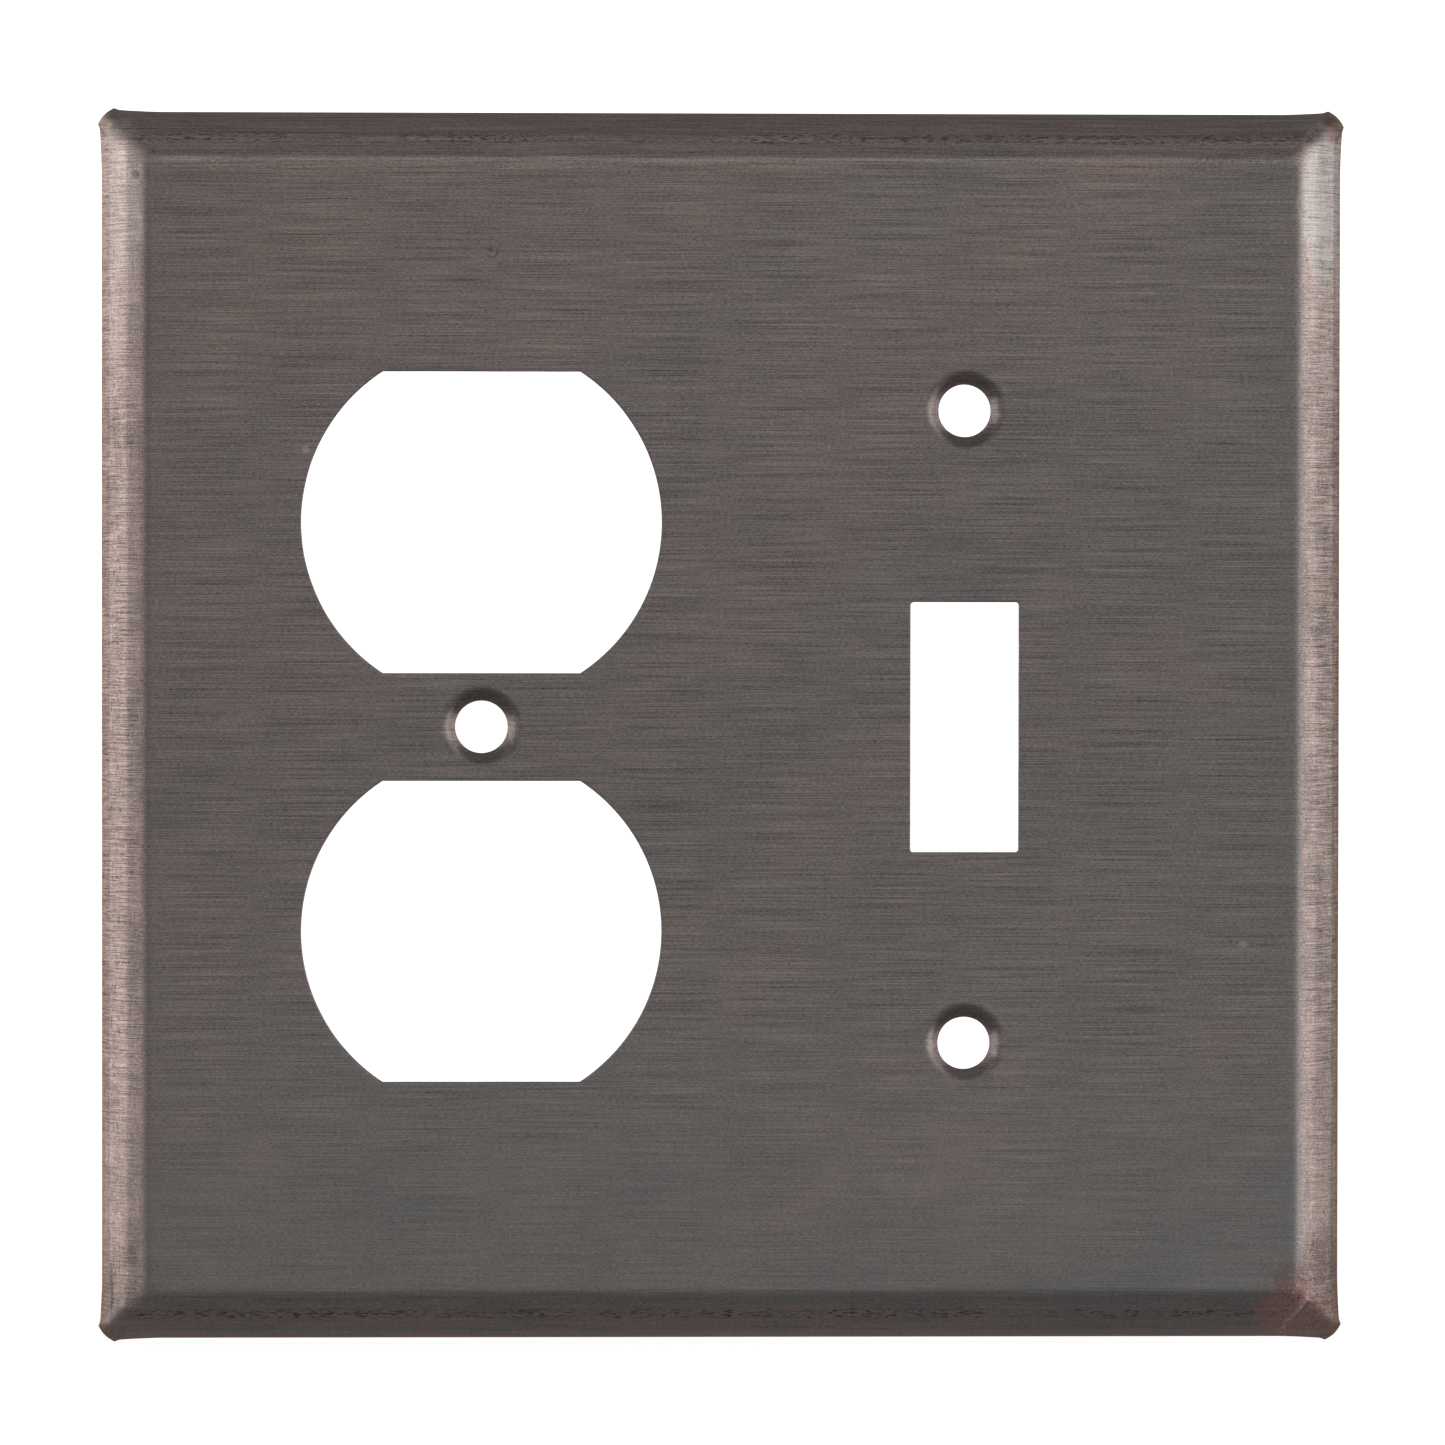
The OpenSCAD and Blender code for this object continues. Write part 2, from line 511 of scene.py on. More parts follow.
class Bench:
    """Short ways to add and join the nodes of one material."""

    def __init__(self, name: str) -> None:
        """Starts a material with only a shader and its output.

        Args:
            name: The material's name.
        """
        self.material = bpy.data.materials.new(name)
        self.material.use_nodes = True
        self.tree = self.material.node_tree
        self.tree.nodes.clear()
        self.output = self.tree.nodes.new("ShaderNodeOutputMaterial")

    def node(self, kind: str, **settings: object) -> bpy.types.Node:
        """Adds a node and sets its properties."""
        made = self.tree.nodes.new("ShaderNode" + kind)
        for key, value in settings.items():
            setattr(made, key, value)
        return made

    def put(self, socket: Socket, value: object) -> None:
        """Links a socket to another, or sets its own value."""
        if isinstance(value, Socket):
            self.tree.links.new(value, socket)
        elif isinstance(value, tuple) and len(value) == 3 and socket.type == "RGBA":
            socket.default_value = (*value, 1.0)
        else:
            socket.default_value = value

    def math(self, operation: str, *values: Amount) -> Socket:
        """Does arithmetic on one, two or three amounts."""
        made = self.node("Math", operation=operation)
        for socket, value in zip(made.inputs, values):
            self.put(socket, value)
        return made.outputs[0]

    def times(self, *values: Amount) -> Socket:
        """Multiplies all the amounts."""
        total = values[0]
        for value in values[1:]:
            total = self.math("MULTIPLY", total, value)
        return total

    def plus(self, *values: Amount) -> Socket:
        """Adds all the amounts."""
        total = values[0]
        for value in values[1:]:
            total = self.math("ADD", total, value)
        return total

    def fade(self, value: Amount, low: float, high: float, first: float = 0, last: float = 1) -> Socket:
        """Eases from first to last as the value goes from low to high."""
        made = self.node("MapRange", interpolation_type="SMOOTHSTEP")
        for socket, amount in zip(made.inputs, (value, low, high, first, last)):
            self.put(socket, amount)
        return made.outputs[0]

    def scaled(self, position: Socket, size: tuple[float, float, float]) -> Socket:
        """Measures a position in steps of that size along x, y and z."""
        made = self.node("VectorMath", operation="MULTIPLY")
        self.put(made.inputs[0], position)
        self.put(made.inputs[1], tuple(1 / length for length in size))
        return made.outputs[0]

    def grain(
        self, position: Socket, size: tuple[float, float, float], detail: float = 2,
        roughness: float = 0.5, shift: float = 0,
    ) -> Socket:
        """Makes noise whose features have that size.

        Args:
            position: Where the surface is.
            size: Length of a feature along x, y and z.
            detail: Octaves of finer noise.
            roughness: Strength of the finer noise.
            shift: Which of many patterns it is.

        Returns:
            The noise, mostly from 0.3 to 0.7.
        """
        made = self.node("TexNoise", noise_dimensions="4D")
        self.put(made.inputs["Vector"], self.scaled(position, size))
        self.put(made.inputs["W"], shift)
        self.put(made.inputs["Scale"], 1.0)
        self.put(made.inputs["Detail"], detail)
        self.put(made.inputs["Roughness"], roughness)
        return made.outputs[0]

    def blend(self, share: Amount, first: object, second: object) -> Socket:
        """Mixes two colours."""
        made = self.node("Mix", data_type="RGBA", blend_type="MIX", clamp_factor=True)
        self.put(made.inputs[0], share)
        self.put(made.inputs[6], first)
        self.put(made.inputs[7], second)
        return made.outputs[2]

    def tone(self, colour: Socket, strength: Amount) -> Socket:
        """Makes a colour lighter or darker by a factor."""
        made = self.node("VectorMath", operation="SCALE")
        self.put(made.inputs[0], colour)
        self.put(made.inputs[3], strength)
        return made.outputs[0]

    def close_to(self, x: Socket, z: Socket, place: Place, size: Place, wander: Socket) -> Socket:
        """Marks a soft-edged patch.

        Args:
            x: Where the surface is, across.
            z: Where the surface is, upwards.
            place: The patch's centre.
            size: Its half width and half height.
            wander: Noise that makes its edge uneven.

        Returns:
            1 in the patch and 0 outside it.
        """
        across = self.math("DIVIDE", self.math("SUBTRACT", x, place[0]), size[0])
        up = self.math("DIVIDE", self.math("SUBTRACT", z, place[1]), size[1])
        away = self.math("SQRT", self.plus(self.times(across, across), self.times(up, up)))
        return self.fade(self.plus(away, self.times(self.plus(wander, -0.5), 1.6)), 1.15, 0.55)


@dataclass(frozen=True)
class Mark:
    """One spot, stain, patch of wear, painted glint or painted highlight on the front of the plate."""

    name: str
    place: Place
    size: Place
    tint: Colour
    strength: float


@dataclass(frozen=True)
class Scratch:
    """One fine curved scratch, shown only inside the patch at its place."""

    name: str
    centre: Place
    radius: float
    place: Place
    size: Place
    tint: Colour
    strength: float


class PlateField:
    """Where each point of the surface lies on the plate, and the grain that several layers share."""

    def __init__(self, bench: Bench, outline: RimOutline, section: RimSection) -> None:
        """Makes the shared nodes.

        Args:
            bench: Where the nodes are added.
            outline: The plate's outline.
            section: The rim's section.
        """
        self.bench, self.outline, self.section = bench, outline, section
        self.position = bench.node("TexCoord").outputs["Object"]
        parts = bench.node("SeparateXYZ")
        bench.put(parts.inputs[0], self.position)
        self.x, height, self.z = parts.outputs
        self.depth = bench.math("ABSOLUTE", height)
        self.side_inset = bench.math("SUBTRACT", outline.width / 2, bench.math("ABSOLUTE", self.x))
        self.end_inset = bench.math("SUBTRACT", outline.height / 2, bench.math("ABSOLUTE", self.z))
        self.front = bench.node("Attribute", attribute_name=FRONT_SHARE).outputs["Fac"]
        self.on_rim = bench.fade(self.depth, section.depth - 0.15 * MM, section.depth - 0.8 * MM)
        corner = bench.math("SUBTRACT", self.end_inset, bench.times(self.side_inset, 0.5))
        self.side = bench.times(
            self.front, bench.fade(self.side_inset, 4.7 * MM, 3.7 * MM),
            bench.fade(corner, 1.2 * MM, 3.0 * MM),
        )
        self.speck = bench.grain(self.position, (0.11 * MM, 0.11 * MM, 0.10 * MM), 1, 0.5, shift=9.0)
        self.cloud = bench.grain(self.position, (16 * MM, 16 * MM, 12 * MM), 4, 0.55, shift=13.0)
        self.blotch = bench.grain(self.position, (5 * MM, 5 * MM, 3 * MM), 4, 0.6, shift=17.0)
        self.fleck = bench.grain(self.position, (1.3 * MM, 1.3 * MM, 0.7 * MM), 3, 0.6, shift=19.0)
        self.along = bench.grain(self.position, (0.2 * MM, 0.5 * MM, 2.2 * MM), 3, 0.7, shift=31.0)
        self.patch = bench.grain(self.position, (2.5 * MM, 2.5 * MM, 5 * MM), 3, 0.6, shift=37.0)
        self.wander = bench.grain(self.position, (1.6 * MM,) * 3, 3, 0.65, shift=53.0)
        self.spatter = bench.grain(self.position, (0.3 * MM,) * 3, 3, 0.7, shift=59.0)
        sparkle = bench.grain(self.position, (0.17 * MM,) * 3, 1, 0.5, shift=67.0)
        self.sparkle = bench.fade(sparkle, 0.57, 0.66)

    def away_from(self, place: Place) -> Socket:
        """Measures the distance from a place on the face."""
        across = self.bench.plus(self.x, -place[0])
        up = self.bench.plus(self.z, -place[1])
        squares = self.bench.plus(self.bench.times(across, across), self.bench.times(up, up))
        return self.bench.math("SQRT", squares)

    def patch_at(self, place: Place, size: Place, wander: Socket) -> Socket:
        """Marks a soft-edged patch on the front of the plate."""
        return self.bench.times(self.bench.close_to(self.x, self.z, place, size, wander), self.front)


@dataclass(frozen=True)
class WeatheredBronze:
    """Brushed sheet darkened with age, rubbed pink along the sides and bare at its cut edges, with some
    highlights and shade painted into its colour.
    """

    slot: str = "dark_bronze_sheet"
    grey: Colour = (0.37, 0.358, 0.342)
    brown: Colour = (0.468, 0.382, 0.350)
    rubbed: Colour = (0.67, 0.51, 0.465)
    bare: Colour = (0.66, 0.38, 0.25)
    pale_and_highlight: Colour = (0.90, 0.80, 0.74)
    stain: Colour = (0.64, 0.36, 0.325)
    spot: Colour = (0.33, 0.16, 0.13)
    soot_and_shade: Colour = (0.16, 0.13, 0.12)
    roughness: float = 0.40
    anisotropy: float = 0.45
    line_size: tuple[float, float, float] = (11 * MM, 2.6 * MM, 0.066 * MM)
    fibre_size: tuple[float, float, float] = (0.34 * MM, 0.6 * MM, 0.085 * MM)
    streak_size: tuple[float, float, float] = (35 * MM, 15 * MM, 0.6 * MM)
    scratch_size: tuple[float, float, float] = (9 * MM, 2 * MM, 0.10 * MM)
    highlight_offset: float = 2.85 * MM
    highlight_size: Place = (0.36 * MM, 1.4 * MM)
    shade_ring_radius: float = 3.3 * MM

    def stains(self) -> tuple[Mark, ...]:
        """The red-brown stain in the lower right corner, patch by patch."""
        return (
            Mark("stain_crease", (54.95 * MM, -56.1 * MM), (4.2 * MM, 3.4 * MM), self.stain, 0.95),
            Mark("stain_tip", (58.15 * MM, -56.7 * MM), (2.0 * MM, 3.0 * MM), self.stain, 0.80),
            Mark("stain_rim", (57.35 * MM, -50.9 * MM), (2.6 * MM, 3.0 * MM), self.spot, 0.45),
            Mark("stain_face", (54.25 * MM, -53.0 * MM), (1.7 * MM, 2.2 * MM), self.spot, 0.55),
        )

    def glints(self) -> tuple[Mark, ...]:
        """Painted highlights: patches of pale glinting specks in the lower right corner and at the top
        corners.
        """
        return (
            Mark("glint_crease", (56.55 * MM, -55.3 * MM), (4.4 * MM, 4.6 * MM), self.pale_and_highlight, 0.62),
            Mark("glint_rim", (57.35 * MM, -49.7 * MM), (2.4 * MM, 4.0 * MM), self.pale_and_highlight, 0.60),
            Mark("glint_top_right", (58.3 * MM, 54.4 * MM), (0.9 * MM, 2.6 * MM), self.pale_and_highlight, 0.95),
            Mark("glint_top_left", (-57.6 * MM, 55.9 * MM), (1.5 * MM, 2.4 * MM), self.pale_and_highlight, 0.45),
        )

    def marks(self) -> tuple[Mark, ...]:
        """Single spots, patches of wear and two painted highlights at the top of the side rims."""
        return (
            Mark("red_spot", (-55.85 * MM, 52.5 * MM), (0.46 * MM, 0.46 * MM), self.spot, 0.9),
            Mark("red_line", (-34.9 * MM, 0.2 * MM), (0.14 * MM, 0.7 * MM), self.spot, 0.3),
            Mark("pale_speck_right", (49.7 * MM, -20.7 * MM), (0.6 * MM, 0.4 * MM), self.pale_and_highlight, 0.5),
            Mark("pale_speck_left", (-39.7 * MM, 26.3 * MM), (0.4 * MM, 0.4 * MM), self.pale_and_highlight, 0.35),
            Mark("worn_bend", (-51.6 * MM, 54.0 * MM), (2.4 * MM, 0.24 * MM), self.rubbed, 0.6),
            Mark("dent", (-22.2 * MM, 45.4 * MM), (0.30 * MM, 0.26 * MM), self.soot_and_shade, 0.62),
            Mark("dent_halo", (-22.9 * MM, 44.4 * MM), (1.3 * MM, 1.3 * MM), self.pale_and_highlight, 0.07),
            # Painted highlights: the upper ends of both side rims made lighter.
            Mark("highlight_top_left", (-57.0 * MM, 50.0 * MM), (2.4 * MM, 7.0 * MM), self.pale_and_highlight, 0.20),
            Mark("highlight_top_right", (57.2 * MM, 50.0 * MM), (2.4 * MM, 8.0 * MM), self.pale_and_highlight, 0.42),
            Mark("dark_tip", (58.8 * MM, 57.4 * MM), (1.5 * MM, 1.6 * MM), self.spot, 0.6),
            Mark("dark_rim_line", (-58.3 * MM, -53.6 * MM), (0.16 * MM, 3.2 * MM), self.soot_and_shade, 0.55),
        )

    def scratches(self) -> tuple[Scratch, ...]:
        """Fine scratches across the brushing."""
        pale, dark = self.pale_and_highlight, self.soot_and_shade
        return (
            Scratch("long_scratch", (-33.0 * MM, 25.0 * MM), 15.5 * MM,
                    (-27.0 * MM, 38.5 * MM), (5.5 * MM, 2.6 * MM), pale, 0.15),
            Scratch("left_scratch", (-40.0 * MM, 44.0 * MM), 11.0 * MM,
                    (-47.6 * MM, 35.6 * MM), (2.6 * MM, 2.6 * MM), pale, 0.15),
            Scratch("upper_scratch", (-18.0 * MM, 62.0 * MM), 23.0 * MM,
                    (-26.0 * MM, 40.4 * MM), (6.0 * MM, 1.6 * MM), pale, 0.15),
            Scratch("dent_rim", (-22.1 * MM, 45.3 * MM), 0.62 * MM,
                    (-21.9 * MM, 45.0 * MM), (0.75 * MM, 0.75 * MM), dark, 0.58),
        )

    def _patina(self, field: PlateField, fibres: Socket) -> Socket:
        """Mixes the grey and the brown patina.

        Args:
            field: The plate's field.
            fibres: Short fibres of the brushing.

        Returns:
            The colour.
        """
        bench = field.bench
        slant = bench.node("VectorRotate", rotation_type="Y_AXIS")
        bench.put(slant.inputs["Vector"], field.position)
        bench.put(slant.inputs["Angle"], math.radians(38))
        drift = bench.grain(slant.outputs[0], (60 * MM, 20 * MM, 13 * MM), 2, 0.5, shift=21.0)
        warm = bench.fade(
            bench.plus(
                bench.times(drift, 0.8), bench.times(field.cloud, 0.5), bench.times(field.blotch, 0.5),
                bench.times(field.z, 2.6), bench.times(field.x, -1.8), bench.times(field.on_rim, 0.35),
                bench.times(bench.plus(fibres, -0.5), 0.7), bench.times(field.fleck, 0.5),
            ),
            0.82, 1.50,
        )
        return bench.blend(warm, self.grey, self.brown)

    def _wear(self, field: PlateField, colour: Socket, dimples: list[ScrewDimple]) -> Socket:
        """Rubs the side rims, the upper bends and the dimples' shoulders, and paints highlights and shade
        there.

        Args:
            field: The plate's field.
            colour: The colour so far.
            dimples: The screw dimples.

        Returns:
            The worn colour.
        """
        bench = field.bench
        rub = bench.times(field.side, bench.fade(field.patch, 0.36, 0.58, 0.62, 1.0))
        colour = bench.blend(rub, colour, self.rubbed)
        # Painted glints: pale specks scattered over the side rims.
        colour = bench.blend(bench.times(field.side, field.sparkle, 0.62), colour, self.pale_and_highlight)
        # Along the upper bends, a mottled pink band that is partly rubbed metal and partly a painted
        # highlight.
        bend = bench.times(
            bench.fade(field.end_inset, 3.9 * MM, 4.4 * MM), bench.fade(field.end_inset, 6.4 * MM, 4.9 * MM),
            bench.fade(field.z, 0, 20 * MM), bench.fade(field.spatter, 0.42, 0.60, 0.1, 1.0), field.front,
        )
        colour = bench.blend(bench.times(bend, 0.42), colour, self.rubbed)
        for dimple in dimples:
            reach = dimple.mouth * 0.53
            worn = field.patch_at(dimple.centre, (reach, reach * 0.62), field.fleck)
            colour = bench.blend(bench.times(worn, 0.8), colour, self.rubbed)
            # Painted highlight: a lit crescent inside the right side of each dimple.
            highlight_centre = (dimple.centre[0] + self.highlight_offset, dimple.centre[1])
            lit = field.patch_at(highlight_centre, self.highlight_size, field.fleck)
            colour = bench.blend(bench.times(lit, 0.62), colour, self.pale_and_highlight)
            # Painted shade: a dark ring round each dimple's shoulder, above and below the hole.
            from_ring = bench.plus(field.away_from(dimple.centre), -self.shade_ring_radius)
            ring = bench.fade(bench.math("ABSOLUTE", from_ring), 0.85 * MM, 0.15 * MM)
            up = bench.math("ABSOLUTE", bench.plus(field.z, -dimple.centre[1]))
            painted_shade = bench.fade(up, 0.7 * MM, 1.7 * MM)
            colour = bench.blend(bench.times(ring, painted_shade, field.front, 0.42), colour, self.soot_and_shade)
        return colour

    def _dashes(self, field: PlateField) -> Socket:
        """Marks the sooty dashes along the top and bottom rims."""
        bench = field.bench
        dash = bench.grain(field.position, (0.8 * MM, 0.25 * MM, 0.14 * MM), 2, 0.6, shift=41.0)
        cluster = bench.grain(field.position, (7 * MM, 7 * MM, 7 * MM), 1, 0.5, shift=43.0)
        on_ends = bench.fade(bench.math("SUBTRACT", field.side_inset, field.end_inset), -0.4 * MM, 1.0 * MM)
        band = bench.times(
            bench.fade(field.depth, 3.7 * MM, 4.1 * MM), bench.fade(field.depth, 4.9 * MM, 4.5 * MM),
            on_ends, field.front, bench.fade(cluster, 0.38, 0.55, 0.25, 1.0),
        )
        return bench.times(band, bench.fade(dash, 0.53, 0.58))

    def _pits(self, field: PlateField) -> Socket:
        """Marks the small upright pits along the side rims."""
        bench = field.bench
        pit = bench.grain(field.position, (0.15 * MM, 0.3 * MM, 0.7 * MM), 2, 0.6, shift=47.0)
        band = bench.times(
            field.side, bench.fade(field.depth, 1.6 * MM, 2.2 * MM),
            bench.fade(field.depth, 4.2 * MM, 3.2 * MM),
        )
        return bench.times(band, bench.fade(pit, 0.58, 0.66))

    def _marked(self, field: PlateField, colour: Socket) -> Socket:
        """Adds the stains, the painted glints, the single marks (two of them painted highlights), the
        scratches and a painted highlight along the crease.

        Args:
            field: The plate's field.
            colour: The colour so far.

        Returns:
            The marked colour.
        """
        bench = field.bench
        mottle = bench.fade(field.spatter, 0.62, 0.45, 0.32, 1.0)
        for marks, cover in ((self.stains(), mottle), (self.glints(), field.sparkle), (self.marks(), 1.0)):
            for mark in marks:
                share = field.patch_at(mark.place, mark.size, field.wander)
                colour = bench.blend(bench.times(share, cover, mark.strength), colour, mark.tint)
        for mark in self.scratches():
            from_line = bench.plus(field.away_from(mark.centre), -mark.radius)
            line = bench.fade(bench.math("ABSOLUTE", from_line), 0.14 * MM, 0.02 * MM)
            share = bench.times(line, field.patch_at(mark.place, mark.size, field.wander), mark.strength)
            colour = bench.blend(share, colour, mark.tint)
        # Painted highlight: pale specks along the top of the crease.
        crease_highlight = bench.node("Attribute", attribute_name=CREASE_SHARE).outputs["Fac"]
        share = bench.times(crease_highlight, bench.fade(field.spatter, 0.42, 0.58, 0.05, 0.85))
        return bench.blend(share, colour, self.pale_and_highlight)

    def _edged(self, field: PlateField, colour: Socket) -> Socket:
        """Bares the copper-coloured metal along the cut edge, most of all below and to the right."""
        bench = field.bench
        uneven = bench.plus(field.depth, bench.times(bench.plus(field.patch, -0.5), 0.9 * MM))
        edge = bench.fade(uneven, 1.25 * MM, 0.55 * MM)
        below = bench.fade(
            bench.plus(bench.times(field.x, 0.6), bench.times(field.z, -1.0)), -30 * MM, 30 * MM, 0.3, 1.0
        )
        return bench.blend(bench.times(edge, below), colour, self.bare)

    def _strength(self, field: PlateField, lines: Socket, fibres: Socket) -> Socket:
        """How much lighter or darker than its colour each point is.

        Args:
            field: The plate's field.
            lines: Long lines of the brushing.
            fibres: Short fibres of the brushing.

        Returns:
            The factor.
        """
        bench, side, z = field.bench, field.side, field.z
        streaks = bench.grain(field.position, self.streak_size, 2, 0.5, shift=5.0)
        scratch = bench.grain(field.position, self.scratch_size, 1, 0.5, shift=61.0)
        busy = bench.plus(bench.fade(z, -48 * MM, -25 * MM, 0.82, 1.0), bench.times(side, 0.15))
        drawn = bench.times(
            bench.fade(z, -48 * MM, -25 * MM, 0.55, 1.0), bench.plus(1.0, bench.times(side, 0.7))
        )
        flat = bench.math("SUBTRACT", 1.0, field.on_rim)
        return bench.math("MAXIMUM", bench.plus(
            bench.plus(1.02, bench.times(side, -0.035)),
            bench.times(busy, bench.plus(
                bench.times(bench.plus(fibres, -0.5), 1.5),
                bench.times(bench.plus(field.speck, -0.5), 0.9),
            )),
            bench.times(bench.plus(lines, -0.5), drawn, 2.15),
            bench.times(bench.plus(streaks, -0.5), 0.10),
            bench.times(bench.plus(field.cloud, -0.5), 0.14),
            bench.times(bench.plus(field.blotch, -0.5), 0.14),
            bench.times(bench.plus(field.along, -0.5), side, 0.7),
            bench.times(bench.plus(field.patch, -0.5), side, 0.5),
            bench.times(bench.fade(scratch, 0.60, 0.70), drawn, -0.12),
            # Painted light and shade: the side rims lighter towards the top and darker at the bottom, the
            # face darker towards the top.
            bench.times(side, bench.fade(z, 24 * MM, 46 * MM, 0, 0.30)),
            bench.times(side, bench.fade(z, -46 * MM, -54 * MM, 0, -0.26)),
            bench.times(flat, bench.fade(z, -46 * MM, 4 * MM, -0.01, -0.105)),
        ), 0.25)

    def build(
        self, outline: RimOutline, section: RimSection, dimples: list[ScrewDimple]
    ) -> bpy.types.Material:
        """Makes the material.

        Args:
            outline: The plate's outline.
            section: The rim's section.
            dimples: The screw dimples, whose shoulders are rubbed too.

        Returns:
            The finished material.
        """
        bench = Bench("weathered_bronze")
        field = PlateField(bench, outline, section)
        lines = bench.grain(field.position, self.line_size, 2, 0.6, shift=1.0)
        fibres = bench.grain(field.position, self.fibre_size, 2, 0.65, shift=3.0)
        dashes, pits = self._dashes(field), self._pits(field)

        colour = self._wear(field, self._patina(field, fibres), dimples)
        colour = bench.blend(bench.times(dashes, 0.95), colour, self.soot_and_shade)
        colour = bench.blend(bench.times(pits, 0.6), colour, self.soot_and_shade)
        colour = self._edged(field, self._marked(field, colour))
        colour = bench.tone(colour, self._strength(field, lines, fibres))

        bump = bench.node("Bump")
        bench.put(bump.inputs["Strength"], 1.0)
        bench.put(bump.inputs["Distance"], 0.003 * MM)
        bench.put(bump.inputs["Height"], bench.plus(
            bench.times(lines, 0.6), bench.times(field.speck, 0.6), bench.times(fibres, 0.6),
            bench.times(field.along, field.side, 1.2), bench.times(field.fleck, field.on_rim, 3.0),
            bench.times(pits, -1.5), bench.times(dashes, -1.5),
        ))
        uv = bench.node("Tangent", direction_type="UV_MAP", uv_map="brushing")
        shader = bench.node("BsdfPrincipled")
        rough = bench.plus(
            self.roughness, bench.times(bench.plus(lines, -0.5), 0.25), bench.times(field.side, 0.04)
        )
        bench.put(shader.inputs["Base Color"], colour)
        bench.put(shader.inputs["Metallic"], 1.0)
        bench.put(shader.inputs["Roughness"], rough)
        bench.put(shader.inputs["Anisotropic"], self.anisotropy)
        bench.put(shader.inputs["Normal"], bump.outputs[0])
        bench.put(shader.inputs["Tangent"], uv.outputs[0])
        bench.put(bench.output.inputs[0], shader.outputs[0])
        return bench.material


@dataclass(frozen=True)
class PaleGround:
    """Plain pale finish of the floor and the backdrop, which glow a little of their own."""

    name: str
    colour: Colour
    glow: float
    near_glow: float
    near: float = 0.12
    far: float = 0.5

    def build(self) -> bpy.types.Material:
        """Makes the material."""
        bench = Bench(self.name)
        shader = bench.node("BsdfPrincipled")
        bench.put(shader.inputs["Base Color"], self.colour)
        bench.put(shader.inputs["Roughness"], 0.9)
        bench.put(shader.inputs["Specular IOR Level"], 0.0)
        bench.put(shader.inputs["Emission Color"], self.colour)
        glow = self.glow
        if self.near_glow != self.glow:
            away = bench.node("VectorMath", operation="LENGTH")
            bench.put(away.inputs[0], bench.node("NewGeometry").outputs["Position"])
            glow = bench.fade(away.outputs["Value"], self.near, self.far, self.near_glow, self.glow)
        bench.put(shader.inputs["Emission Strength"], glow)
        bench.put(bench.output.inputs[0], shader.outputs[0])
        return bench.material


